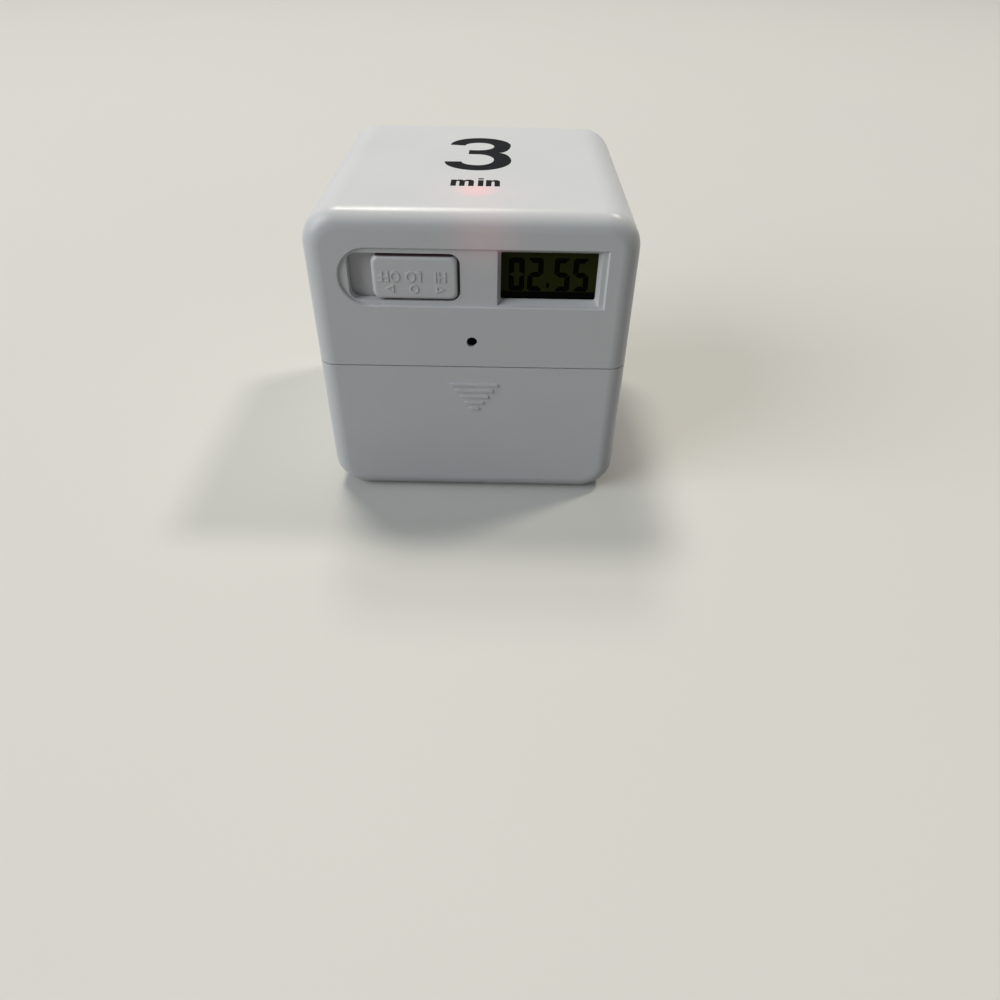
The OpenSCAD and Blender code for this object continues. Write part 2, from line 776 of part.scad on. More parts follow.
// Buzzer: a cup with a sound port, a steel diaphragm on its ledge, a ring magnet round a coil
module buzzer_case() color("black") difference() {
  rod(0, sound_z, buzzer_front, board_front, buzzer_d / 2);
  rod(0, sound_z, buzzer_front - over, board_front + over, sound_d / 2 + fit);
  rod(0, sound_z, buzzer_front + buzzer_wall, board_front + over, diaphragm_r - buzzer_wall / 2);
  rod(0, sound_z, diaphragm_y, board_front + over, diaphragm_r + pin_fit);
}
module buzzer_diaphragm() color("silver")
  rod(0, sound_z, diaphragm_y, diaphragm_y + diaphragm_t, diaphragm_r);
module buzzer_magnet() color("dimgray") difference() {
  rod(0, sound_z, magnet_front, board_front, diaphragm_r - fit);
  rod(0, sound_z, magnet_front - over, board_front + over, diaphragm_r - magnet_w);
}
module buzzer_coil() color("peru") difference() {
  rod(0, sound_z, magnet_front, board_front, diaphragm_r - magnet_w - 2 * fit);
  rod(0, sound_z, magnet_front - over, board_front - over, core_r);
}

// A piece of the tilt switch on one side, drawn upright with its can's lower end at the origin
module tilt_place(side) translate([tilt_x[side], tilt_y, tilt_z]) rotate([0, tilt_lean[side], 0])
  translate([0, 0, -tilt_l / 2]) children();

module tilt_cans() color("silver") for (side = [0, 1]) tilt_place(side) difference() {
  cylinder(h = tilt_l, r = tilt_d / 2);
  translate([0, 0, -over]) cylinder(h = tilt_l + over - tilt_wall, r = tilt_d / 2 - tilt_wall);
}
module tilt_plugs() color("black") for (side = [0, 1]) tilt_place(side) difference() {
  cylinder(h = tilt_plug_l, r = tilt_d / 2 - tilt_wall - pin_fit);
  for (s = [-1, 1]) translate([s * tilt_pin_gap, 0, -over])
    cylinder(h = tilt_plug_l + 2 * over, r = tilt_pin_r + pin_fit);
}
module tilt_pins() color("gold") for (side = [0, 1], s = [-1, 1]) tilt_place(side)
  translate([s * tilt_pin_gap, 0, -tilt_tail]) {
    cylinder(h = tilt_tail + tilt_plug_l, r = tilt_pin_r);
    translate([0, 0, tilt_pin_r]) rotate([90, 0, 0]) cylinder(h = tilt_y - board_back, r = tilt_pin_r);
  }
module tilt_ball(side) color("silver") tilt_place(side)
  translate([0, 0, ball_seat + ball_d / 2]) sphere(ball_d / 2);
module tilt_ball_left() tilt_ball(0);
module tilt_ball_right() tilt_ball(1);

// One cell lying along x, its positive end to the right
module cell() color("steelblue") {
  r = cell_d / 2;
  shoulder = 0.5;
  body_l = cell_l - cell_cap_l;
  rotate([0, 90, 0]) rotate_extrude() polygon([
    [0, 0], [r - 2 * shoulder, 0], [r - shoulder, shoulder / 2], [r, shoulder], [r, body_l - shoulder],
    [r - shoulder, body_l], [cell_cap_r, body_l], [cell_cap_r, cell_l], [0, cell_l]
  ]);
}
// Left end of a cell whose positive cap rests on the dimple on the right
cell_left = bay_half - contact_t - dimple - pin_fit - cell_l;
module cell_upper() translate([cell_left, cell_y, cell_high_z]) cell();
module cell_lower() mirror([1, 0, 0]) translate([cell_left, cell_y, cell_low_z]) cell();

// A contact plate on the right end wall, from one height to another
module contact_plate(low, high) span(
  [bay_half - contact_t, cell_y - contact_w / 2, low - contact_h / 2],
  [bay_half, cell_y + contact_w / 2, high + contact_h / 2]
);
module contact_dimple(z) translate([bay_half - contact_t - dimple, cell_y, z]) rotate([0, 90, 0])
  cylinder(h = dimple + contact_t, r1 = dimple_r - dimple, r2 = dimple_r);
module contact_lug(z)
  span([bay_half - contact_t, cell_y, z - lug_h / 2], [bay_half, lug_end, z + lug_h / 2]);

module contact_bridge() color("silver") {
  contact_plate(cell_low_z, cell_high_z);
  contact_dimple(cell_high_z);
}
module contact_plus() color("silver") mirror([1, 0, 0]) {
  contact_plate(cell_low_z, cell_low_z);
  contact_dimple(cell_low_z);
  contact_lug(cell_low_z);
}
module contact_minus() color("silver") mirror([1, 0, 0]) {
  contact_plate(cell_high_z, cell_high_z);
  contact_lug(cell_high_z);
}

// Cone spring along x between a contact plate on the left and the flat end of a cell
spring_start = contact_t - bay_half + spring_wire_r + pin_fit;
spring_end = cell_left - spring_wire_r - pin_fit;
spring_steps = round(spring_turns * spring_rings);
function spring_point(i) =
  let (
    share = i / spring_steps,
    r = spring_base_r + share * (spring_tip_r - spring_base_r),
    turn = 360 * i / spring_rings
  ) [spring_start + share * (spring_end - spring_start), r * cos(turn), r * sin(turn)];
spring_path = [for (i = [0 : spring_steps]) spring_point(i)];
spring_gap = min([
  for (i = [0 : spring_steps], k = [i + spring_rings / 2 : spring_steps])
    norm(spring_path[i] - spring_path[k])
]) - 2 * spring_wire_r;
echo(str("Least gap between the curls of a contact spring: ", spring_gap, " mm"));
module spring() color("silver") tube(spring_path, spring_wire_r, spring_sides, [1, 0, 0]);
module spring_minus() translate([0, cell_y, cell_high_z]) spring();
module spring_bridge() mirror([1, 0, 0]) translate([0, cell_y, cell_low_z]) spring();

module lead_red() color("red") tube(lead_red_path, wire_r, wire_sides, [1, 0, 0]);
module lead_black() color("black") tube(lead_black_path, wire_r, wire_sides, [1, 0, 0]);

main_housing();
rear_cover();
case_screws();
battery_cover();
lcd_polariser();
lcd_front_glass();
lcd_rear_glass();
lcd_reflector();
lcd_frame();
contact_strip();
switch_knob();
switch_slider();
switch_wiper();
switch_can();
switch_base();
switch_pins();
main_board();
board_screws();
chip_blob();
crystal();
chip_resistors();
alarm_led();
led_leads();
buzzer_case();
buzzer_diaphragm();
buzzer_magnet();
buzzer_coil();
tilt_cans();
tilt_plugs();
tilt_pins();
tilt_ball_left();
tilt_ball_right();
cell_upper();
cell_lower();
contact_plus();
contact_minus();
contact_bridge();
spring_minus();
spring_bridge();
lead_red();
lead_black();
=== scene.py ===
from math import cos, pi, radians, sin

import bmesh
import bpy
from mathutils import Matrix, Vector


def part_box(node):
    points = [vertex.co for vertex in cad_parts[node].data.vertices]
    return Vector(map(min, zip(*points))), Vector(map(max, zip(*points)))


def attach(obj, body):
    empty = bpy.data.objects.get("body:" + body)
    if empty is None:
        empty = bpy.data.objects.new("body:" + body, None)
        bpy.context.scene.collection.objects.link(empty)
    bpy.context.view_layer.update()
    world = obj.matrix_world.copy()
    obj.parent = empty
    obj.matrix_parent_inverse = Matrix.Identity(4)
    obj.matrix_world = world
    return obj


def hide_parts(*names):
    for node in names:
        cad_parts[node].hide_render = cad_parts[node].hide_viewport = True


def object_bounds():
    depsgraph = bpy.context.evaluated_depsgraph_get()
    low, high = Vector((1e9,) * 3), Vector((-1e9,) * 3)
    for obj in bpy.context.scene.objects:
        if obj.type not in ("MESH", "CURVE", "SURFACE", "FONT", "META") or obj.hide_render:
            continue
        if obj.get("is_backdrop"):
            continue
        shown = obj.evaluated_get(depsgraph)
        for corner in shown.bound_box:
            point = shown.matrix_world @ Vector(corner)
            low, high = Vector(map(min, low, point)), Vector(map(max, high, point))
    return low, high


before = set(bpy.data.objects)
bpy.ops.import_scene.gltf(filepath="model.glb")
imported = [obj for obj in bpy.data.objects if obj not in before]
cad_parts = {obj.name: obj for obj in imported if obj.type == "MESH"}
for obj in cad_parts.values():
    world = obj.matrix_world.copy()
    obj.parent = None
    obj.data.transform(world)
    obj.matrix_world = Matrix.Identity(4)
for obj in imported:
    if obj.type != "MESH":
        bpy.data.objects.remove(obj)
cad_low, cad_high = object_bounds()

# Studio: a pale matt table before a pale backdrop, with the brighter lamps behind the cube, so that the
# top is lit and the display face lies in soft shade under a cooler lamp from the upper left. The camera
# stands where the photo was taken, in front of the cube and above it, with a wide lens.
mm = 0.001
scene = bpy.context.scene
scene.view_settings.view_transform = "Standard"


def join_nodes(tree, source, target):
    tree.links.new(source, target)


def add_node(tree, kind, **settings):
    """A shader node with its settings; a name that starts with in_ sets the input of that number."""
    node = tree.nodes.new(kind)
    for name, value in settings.items():
        if name.startswith("in_"):
            node.inputs[int(name[3:])].default_value = value
        else:
            setattr(node, name, value)
    return node


def surface_grain_group():
    """Shared effect: fine grain as a height, and broad soft patches between 0 and 1."""
    group = bpy.data.node_groups.new("surface grain", "ShaderNodeTree")
    for name, kind in (("Vector", "Vector"), ("Grain Size", "Float"), ("Patch Size", "Float")):
        group.interface.new_socket(name, in_out="INPUT", socket_type="NodeSocket" + kind)
    for name in ("Grain", "Patches"):
        group.interface.new_socket(name, in_out="OUTPUT", socket_type="NodeSocketFloat")
    inside = group.nodes.new("NodeGroupInput")
    outside = group.nodes.new("NodeGroupOutput")
    for size, result, detail in (("Grain Size", "Grain", 2.0), ("Patch Size", "Patches", 4.0)):
        scale = add_node(group, "ShaderNodeMath", operation="DIVIDE", in_0=1.0)
        noise = add_node(group, "ShaderNodeTexNoise")
        noise.inputs["Detail"].default_value = detail
        join_nodes(group, inside.outputs[size], scale.inputs[1])
        join_nodes(group, inside.outputs["Vector"], noise.inputs["Vector"])
        join_nodes(group, scale.outputs[0], noise.inputs["Scale"])
        join_nodes(group, noise.outputs["Fac"], outside.inputs[result])
    return group


surface_grain = surface_grain_group()


class Finish:
    """A material whose colour and roughness drift between two values in soft patches, over a grain."""

    def __init__(self, name, *, colours, roughness, grain, patch=8 * mm, depth=0.01 * mm, strength=0.3,
                 metallic=0.0, sockets=None):
        self.material = bpy.data.materials.new(name)
        self.material.use_nodes = True
        self.tree = self.material.node_tree
        self.shader = self.tree.nodes["Principled BSDF"]
        self.shader.inputs["Metallic"].default_value = metallic
        for socket, value in (sockets or {}).items():
            self.shader.inputs[socket].default_value = value
        self.place = add_node(self.tree, "ShaderNodeTexCoord").outputs["Object"]
        effect = add_node(self.tree, "ShaderNodeGroup", node_tree=surface_grain)
        effect.inputs["Grain Size"].default_value = grain
        effect.inputs["Patch Size"].default_value = patch
        join_nodes(self.tree, self.place, effect.inputs["Vector"])
        patches = effect.outputs["Patches"]
        patch_low, patch_high = 0.3, 0.7
        self.colour = self.mix(patches, *colours)
        join_nodes(self.tree, self.colour, self.shader.inputs["Base Color"])
        drift = add_node(self.tree, "ShaderNodeMapRange", in_1=patch_low, in_2=patch_high)
        drift.inputs["To Min"].default_value, drift.inputs["To Max"].default_value = roughness
        join_nodes(self.tree, patches, drift.inputs["Value"])
        join_nodes(self.tree, drift.outputs[0], self.shader.inputs["Roughness"])
        self.bump = add_node(self.tree, "ShaderNodeBump")
        self.bump.inputs["Strength"].default_value = strength
        self.bump.inputs["Distance"].default_value = depth
        join_nodes(self.tree, effect.outputs["Grain"], self.bump.inputs["Height"])
        join_nodes(self.tree, self.bump.outputs["Normal"], self.shader.inputs["Normal"])

    def mix(self, share, first, second):
        """Blend of two colours, either of which may be another node's output."""
        node = add_node(self.tree, "ShaderNodeMix", data_type="RGBA")
        join_nodes(self.tree, share, node.inputs["Factor"])
        for socket, colour in zip([s for s in node.inputs if s.type == "RGBA"], (first, second)):
            if isinstance(colour, bpy.types.NodeSocket):
                join_nodes(self.tree, colour, socket)
            else:
                socket.default_value = (*colour, 1.0)
        return next(s for s in node.outputs if s.type == "RGBA")

    def ramp(self, value, low, high):
        """Soft step of a value, from 0 at low to 1 at high."""
        node = add_node(self.tree, "ShaderNodeMapRange", interpolation_type="SMOOTHSTEP",
                        in_1=low, in_2=high)
        join_nodes(self.tree, value, node.inputs["Value"])
        return node.outputs[0]

    def reach(self, point):
        """Distance from a point of the object."""
        node = add_node(self.tree, "ShaderNodeVectorMath", operation="DISTANCE", in_1=point)
        join_nodes(self.tree, self.place, node.inputs[0])
        return node.outputs["Value"]

    def along(self, axis):
        """Place along one axis of the object."""
        node = add_node(self.tree, "ShaderNodeSeparateXYZ")
        join_nodes(self.tree, self.place, node.inputs[0])
        return node.outputs[axis]

    def bands(self, axis, scale):
        """Even soft bands along one axis of the object."""
        node = add_node(self.tree, "ShaderNodeTexWave", bands_direction=axis)
        node.inputs["Scale"].default_value = scale
        join_nodes(self.tree, self.place, node.inputs["Vector"])
        return node.outputs["Fac"]

    def paint(self, share, colour):
        """Lays a colour over the base colour, as much as share says."""
        self.colour = self.mix(share, self.colour, colour)
        join_nodes(self.tree, self.colour, self.shader.inputs["Base Color"])

    def round_edges(self, radius):
        """Lets the light run round the sharp edges of the moulding."""
        edge = add_node(self.tree, "ShaderNodeBevel", samples=4)
        edge.inputs["Radius"].default_value = radius
        join_nodes(self.tree, edge.outputs["Normal"], self.bump.inputs["Normal"])


def mesh_object(name, mesh, material):
    piece = bpy.data.objects.new(name, mesh)
    piece.data.materials.append(material)
    scene.collection.objects.link(piece)
    return piece


table_half = 4.0
ink_room = 0.03 * mm
table_top = bmesh.new()
bmesh.ops.create_grid(table_top, x_segments=1, y_segments=1, size=table_half)
bmesh.ops.translate(table_top, vec=(0, 0, -ink_room), verts=table_top.verts)
table_mesh = bpy.data.meshes.new("table_top")
table_top.to_mesh(table_mesh)
table_top.free()
table_paint = Finish("table paint", colours=((0.668, 0.662, 0.622), (0.682, 0.676, 0.636)),
                     roughness=(0.6, 0.66), grain=0.4 * mm, patch=90 * mm)
# The table throws less light on to the cube than its colour would, so the face isn't lit from below.
table_thrown = (0.20, 0.198, 0.19)
table_bounce = add_node(table_paint.tree, "ShaderNodeLightPath").outputs["Is Diffuse Ray"]
table_paint.paint(table_bounce, table_thrown)
mesh_object("table_top", table_mesh, table_paint.material)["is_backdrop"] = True

cube_middle = (cad_low + cad_high) / 2
studio_lamps = {
    "lamp_right": {"place": (1.17, 0.60, 2.16), "size": 0.36, "power": 16.5, "tint": (1.0, 0.94, 0.85)},
    "lamp_left": {"place": (-0.48, 0.81, 2.31), "size": 0.48, "power": 18.8, "tint": (1.0, 0.95, 0.87)},
    "lamp_rear": {"place": (-0.26, 1.38, 2.22), "size": 0.5, "power": 10.0, "tint": (1.0, 0.95, 0.88)},
    "lamp_front": {"place": (-1.55, -0.74, 0.98), "size": 1.6, "power": 22.5, "tint": (0.93, 0.97, 1.0)},
}


def soft_lamp(name, place, size, power, tint):
    """Round lamp that faces the middle of the cube."""
    lamp = bpy.data.lights.new(name, "AREA")
    lamp.shape = "DISK"
    lamp.size = size
    lamp.energy = power
    lamp.color = tint
    holder = bpy.data.objects.new(name, lamp)
    holder.location = place
    holder.rotation_euler = (cube_middle - Vector(place)).to_track_quat("-Z", "Y").to_euler()
    holder.visible_camera = False
    scene.collection.objects.link(holder)


for name, settings in studio_lamps.items():
    soft_lamp(name, **settings)

# The backdrop is brighter where it is seen or mirrored than where it only lights the scene.
room_light, backdrop_light = 0.12, 0.62
backdrop_tint = (0.88, 0.94, 1.0, 1.0)
world = bpy.data.worlds.new("studio")
world.use_nodes = True
backdrop = world.node_tree.nodes["Background"]
backdrop.inputs["Color"].default_value = backdrop_tint
ray = add_node(world.node_tree, "ShaderNodeLightPath")
seen = ray.outputs["Is Camera Ray"]
for kind in ("Is Glossy Ray", "Is Transmission Ray"):
    either = add_node(world.node_tree, "ShaderNodeMath", operation="MAXIMUM")
    join_nodes(world.node_tree, seen, either.inputs[0])
    join_nodes(world.node_tree, ray.outputs[kind], either.inputs[1])
    seen = either.outputs[0]
level = add_node(world.node_tree, "ShaderNodeMapRange")
level.inputs["To Min"].default_value, level.inputs["To Max"].default_value = room_light, backdrop_light
join_nodes(world.node_tree, seen, level.inputs["Value"])
join_nodes(world.node_tree, level.outputs[0], backdrop.inputs["Strength"])
scene.world = world

camera_place = (5.9 * mm, -155.5 * mm, 102.2 * mm)
camera_yaw, camera_pitch, camera_roll = radians(-0.03), radians(-40.02), radians(0.96)
image_size = 1000
focal_pixels = 730.9
near_clip = 10 * mm
camera = bpy.data.objects.new("camera", bpy.data.cameras.new("camera"))
camera.data.sensor_width = 36
camera.data.lens = camera.data.sensor_width * focal_pixels / image_size
camera.data.clip_start = near_clip
camera.matrix_world = (
    Matrix.Translation(camera_place)
    @ Matrix.Rotation(-camera_yaw, 4, "Z")
    @ Matrix.Rotation(pi / 2 + camera_pitch, 4, "X")
    @ Matrix.Rotation(camera_roll, 4, "Z")
)
scene.collection.objects.link(camera)
scene.camera = camera


# Main housing: display face, top, sides and bottom in one injection moulding of white ABS with a fine
# satin grain. A pink glow is painted into the shell's colour and emission over the red alarm lamp under
# its front upper corner, and painted shade darkens the inside of the sound hole.
def dress(finish, *node_names):
    for name in node_names:
        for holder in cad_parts[name].material_slots:
            holder.material = finish.material


shell_white = ((0.645, 0.65, 0.65), (0.685, 0.69, 0.69))
shell_roughness = (0.28, 0.33)
shell_edge_r = 0.12 * mm


def moulded_white(name):
    finish = Finish(name, colours=shell_white, roughness=shell_roughness, grain=0.16 * mm, patch=14 * mm,
                    depth=0.009 * mm, strength=0.6, sockets={"Specular IOR Level": 0.4})
    finish.round_edges(shell_edge_r)
    return finish


housing_plastic = moulded_white("housing plastic")
lamp_low, lamp_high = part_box("alarm_led")
lamp_spot = ((lamp_low.x + lamp_high.x) / 2, (lamp_low.y + lamp_high.y) / 2, lamp_high.z)
front_spot = (2.5 * mm, cad_low.y, 56.5 * mm)
# Painted glow: pink emission round the alarm lamp's place, standing in for its light through the wall.
glow_layers = (
    {"spot": lamp_spot, "outer": 14 * mm, "inner": 4 * mm, "colour": (0.10, 0.015, 0.02)},
    {"spot": front_spot, "outer": 9 * mm, "inner": 1 * mm, "colour": (0.17, 0.03, 0.04)},
    {"spot": lamp_spot, "outer": 6.3 * mm, "inner": 2.8 * mm, "colour": (0.85, 0.13, 0.14)},
)
glow = (0, 0, 0)
for layer in glow_layers:
    distance = housing_plastic.reach(layer["spot"])
    layer_share = housing_plastic.ramp(distance, layer["outer"], layer["inner"])
    glow = housing_plastic.mix(layer_share, glow, layer["colour"])
# The last layer is the core, whose painted glow also tints the plastic's colour.
core_glow_tint = (0.67, 0.59, 0.59)
housing_plastic.paint(layer_share, core_glow_tint)
glow_strength = 0.35
join_nodes(housing_plastic.tree, glow, housing_plastic.shader.inputs["Emission Color"])
housing_plastic.shader.inputs["Emission Strength"].default_value = glow_strength

buzzer_low, buzzer_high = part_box("buzzer_case")
buzzer_middle = (buzzer_low + buzzer_high) / 2
# Painted shade: the inside of the sound hole is painted near black, darkest deep in it.
hole_shade_depth, hole_shade_outer, hole_shade_inner = 1.9 * mm, 1.55 * mm, 1.25 * mm
hole_shade_spot = (buzzer_middle.x, cad_low.y + hole_shade_depth, buzzer_middle.z)
hole_shade_black = (0.02, 0.02, 0.02)
hole_shade = housing_plastic.ramp(housing_plastic.reach(hole_shade_spot), hole_shade_outer, hole_shade_inner)
housing_plastic.paint(hole_shade, hole_shade_black)
dress(housing_plastic, "main_housing")


# Printed times: black pad printing on the four faces that can lie on top, a numeral with the word min
# under it. Each reads upright from the display side once its face is uppermost, and those on the sides
# and the bottom keep clear of the battery cover's seam.
def sign_mesh(contours, thickness):
    """Flat sign from contours of (x, y, way). The edge runs level (h) or upright (v) through a point,
    or turns a corner there (c); quarter arcs join level to upright, straight lines join corners."""
    round_share = 0.55

    def handle(point, towards):
        (x, y, way), (other_x, other_y, other_way) = point, towards
        if way == "c":
            way = {"h": "v", "v": "h"}.get(other_way, "c")
        x_share = {"h": round_share, "v": 0, "c": 1 / 3}[way]
        y_share = {"h": 0, "v": round_share, "c": 1 / 3}[way]
        return (x + x_share * (other_x - x), y + y_share * (other_y - y), 0)

    curve = bpy.data.curves.new("sign", "CURVE")
    curve.dimensions = "2D"
    curve.fill_mode = "BOTH"
    curve.extrude = thickness / 2
    for contour in contours:
        spline = curve.splines.new("BEZIER")
        spline.use_cyclic_u = True
        spline.bezier_points.add(len(contour) - 1)
        for i, knot in enumerate(spline.bezier_points):
            before, here, after = contour[i - 1], contour[i], contour[(i + 1) % len(contour)]
            knot.handle_left_type = knot.handle_right_type = "FREE"
            knot.co = (here[0], here[1], 0)
            knot.handle_left = handle(here, before)
            knot.handle_right = handle(here, after)
    return curve_to_mesh(curve)


def curve_to_mesh(curve):
    holder = bpy.data.objects.new("drawing", curve)
    scene.collection.objects.link(holder)
    bpy.context.view_layer.update()
    mesh = bpy.data.meshes.new_from_object(holder.evaluated_get(bpy.context.evaluated_depsgraph_get()))
    bpy.data.objects.remove(holder)
    weld_gap = 0.0001 * mm
    form = bmesh.new()
    form.from_mesh(mesh)
    bmesh.ops.remove_doubles(form, verts=form.verts, dist=weld_gap)
    bmesh.ops.recalc_face_normals(form, faces=form.faces)
    form.to_mesh(mesh)
    form.free()
    return mesh


def shifted(contours, right=0.0, up=0.0, size=1.0):
    return [[(right + size * x, up + size * y, way) for x, y, way in c] for c in contours]


# The numerals and letters are drawn in millimetres.
numeral_3 = [[
    (-5.9, 11.9, "c"), (0.3, 17.55, "h"), (6.85, 12.0, "v"), (4.3, 6.2, "c"),
    (6.95, 0.6, "v"), (0.3, -6.1, "h"), (-6.35, -0.4, "c"), (-3.0, -0.3, "c"),
    (0.3, -2.7, "h"), (3.45, 1.2, "v"), (0.0, 5.0, "h"), (-1.8, 5.0, "c"), (-1.8, 7.95, "c"),
    (0.0, 7.95, "h"), (3.35, 10.9, "v"), (0.3, 13.7, "h"), (-2.75, 11.4, "c"),
]]
numeral_1 = [[
    (0.2, -5.8, "c"), (3.8, -5.8, "c"), (3.8, 17.3, "c"), (0.9, 17.3, "c"),
    (-4.2, 14.4, "c"), (-4.2, 11.0, "c"), (0.2, 13.2, "c"),
]]
numeral_5 = [[
    (-4.7, 17.2, "c"), (5.7, 17.2, "c"), (5.7, 14.0, "c"), (-1.9, 14.0, "c"), (-2.4, 9.6, "c"),
    (0.9, 10.7, "h"), (6.95, 2.6, "v"), (0.3, -6.1, "h"), (-6.35, -0.7, "c"), (-3.0, -0.7, "c"),
    (0.3, -3.1, "h"), (3.45, 2.4, "v"), (0.4, 7.6, "h"), (-2.4, 5.8, "c"), (-5.9, 5.8, "c"),
]]
numeral_0 = [
    [(-6.2, 5.75, "v"), (0, 17.55, "h"), (6.2, 5.75, "v"), (0, -6.1, "h")],
    [(-2.6, 5.75, "v"), (0, -3.0, "h"), (2.6, 5.75, "v"), (0, 14.45, "h")],
]
one_across, zero_across, ten_size = -6.6, 4.4, 0.9
numeral_10 = (shifted(numeral_1, one_across, size=ten_size)
              + shifted(numeral_0, zero_across, size=ten_size))
x_height = 3.7
stem = 1.02
n_width, m_width, m_middle = 2.6, 4.3, 2.62
i_height, dot_foot, dot_top = 3.55, 4.05, 4.75
letter_n = [[
    (0, 0, "c"), (0, x_height, "c"), (stem, x_height, "c"), (stem, 3.2, "c"), (1.75, 3.8, "h"),
    (n_width, 2.7, "v"), (n_width, 0, "c"), (n_width - stem, 0, "c"), (n_width - stem, 2.35, "v"),
    (1.35, 2.85, "h"), (stem, 2.2, "v"), (stem, 0, "c"),
]]
letter_m = [[
    (0, 0, "c"), (0, x_height, "c"), (stem, x_height, "c"), (stem, 3.25, "c"), (1.6, 3.8, "h"),
    (2.4, 3.2, "c"), (3.35, 3.8, "h"), (m_width, 2.7, "v"), (m_width, 0, "c"), (m_width - stem, 0, "c"),
    (m_width - stem, 2.4, "v"), (3.0, 2.9, "h"), (m_middle, 2.3, "v"), (m_middle, 0, "c"),
    (m_middle - stem, 0, "c"), (m_middle - stem, 2.4, "v"), (1.32, 2.9, "h"), (stem, 2.3, "v"),
    (stem, 0, "c"),
]]
letter_i = [
    [(0, 0, "c"), (0, i_height, "c"), (stem, i_height, "c"), (stem, 0, "c")],
    [(0, dot_foot, "c"), (0, dot_top, "c"), (stem, dot_top, "c"), (stem, dot_foot, "c")],
]
word_base = -15.8
m_left, i_left, n_left = -4.3, 0.75, 2.25
word_min = (shifted(letter_m, m_left, word_base) + shifted(letter_i, i_left, word_base)
            + shifted(letter_n, n_left, word_base))
ink_thickness = 0.03 * mm
ink_rise = 0.005 * mm
half_width = (cad_high.x - cad_low.x) / 2
seam_room = 3 * mm
x_axis, y_axis, z_axis = Matrix.Identity(3)


def face_place(right, up, outward, centre):
    turn = Matrix((right, up, outward)).transposed().to_4x4()
    return Matrix.Translation(centre) @ turn


printed_faces = {
    "print_top": (numeral_3, face_place(x_axis, y_axis, z_axis, (0, 0, cad_high.z))),
    "print_left": (numeral_1, face_place(z_axis, y_axis, -x_axis, (-half_width, seam_room, cube_middle.z))),
    "print_right": (numeral_5, face_place(-z_axis, y_axis, x_axis, (half_width, seam_room, cube_middle.z))),
    "print_bottom": (numeral_10, face_place(-x_axis, y_axis, -z_axis, (0, seam_room, cad_low.z))),
}
print_ink = Finish("print ink", colours=((0.008, 0.008, 0.009), (0.014, 0.014, 0.015)),
                   roughness=(0.55, 0.7), grain=0.08 * mm, patch=3 * mm, depth=0.004 * mm,
                   sockets={"Specular IOR Level": 0.03})
for name, (numeral, place) in printed_faces.items():
    print_mesh = sign_mesh(shifted(numeral + word_min, size=mm), ink_thickness)
    print_mesh.transform(place @ Matrix.Translation((0, 0, ink_rise - ink_thickness / 2)))
    ink = mesh_object(name, print_mesh, print_ink.material)
    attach(ink, "case")


# Display: a glass cell with a polarising film in front and a reflector behind, held by a black frame
# over a rubber contact strip that joins it to the board. The lit segments are nearly black on olive.
film = Finish("polarising film", colours=((0.019, 0.0225, 0.005), (0.024, 0.0275, 0.007)),
              roughness=(0.45, 0.52), grain=0.05 * mm, patch=5 * mm, depth=0.001 * mm,
              sockets={"Specular IOR Level": 0.02})
film_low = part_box("lcd_polariser")[0]
border_start, border_full = film_low.z + 0.35 * mm, film_low.z + 0.05 * mm
border_black = (0.0015, 0.0015, 0.001)
film.paint(film.ramp(film.along("Z"), border_start, border_full), border_black)
dress(film, "lcd_polariser")
glass = Finish("display glass", colours=((0.92, 0.96, 0.95), (0.97, 1.0, 0.99)), roughness=(0.02, 0.04),
               grain=0.2 * mm, patch=6 * mm, depth=0.0005 * mm, sockets={"Transmission Weight": 1.0})
dress(glass, "lcd_rear_glass")
masked_glass = Finish("masked glass", colours=((0.0014, 0.0014, 0.0012), (0.0022, 0.0022, 0.0018)),
                      roughness=(0.3, 0.36), grain=0.1 * mm, depth=0.001 * mm,
                      sockets={"Specular IOR Level": 0.02})
dress(masked_glass, "lcd_front_glass")
reflector = Finish("reflector foil", colours=((0.30, 0.33, 0.22), (0.36, 0.39, 0.27)),
                   roughness=(0.35, 0.5), grain=0.06 * mm, metallic=0.6)
dress(reflector, "lcd_reflector")
frame_plastic = Finish("frame plastic", colours=((0.012, 0.012, 0.013), (0.022, 0.022, 0.023)),
                       roughness=(0.45, 0.6), grain=0.12 * mm)
dress(frame_plastic, "lcd_frame")
strip_rubber = Finish("contact rubber", colours=((0.012, 0.012, 0.012), (0.020, 0.020, 0.020)),
                      roughness=(0.7, 0.85), grain=0.1 * mm)
stripe_scale, stripe_start, stripe_full = 1500, 0.6, 0.9
stripe_grey = (0.06, 0.06, 0.06)
stripes = strip_rubber.ramp(strip_rubber.bands("X", stripe_scale), stripe_start, stripe_full)
strip_rubber.paint(stripes, stripe_grey)
dress(strip_rubber, "contact_strip")

# The digits are drawn in millimetres, in the cube's own frame.
digit_w, digit_h = 2.85, 6.2
segment_t, segment_gap, segment_cut = 0.95, 0.03, 0.4
digit_base = 45.3
digit_lefts = (6.72, 10.12, 14.97, 18.37)
digit_shown = ("abcdef", "abdeg", "acdfg", "acdfg")
point_box = (13.62, 45.9, 14.15, 46.85)


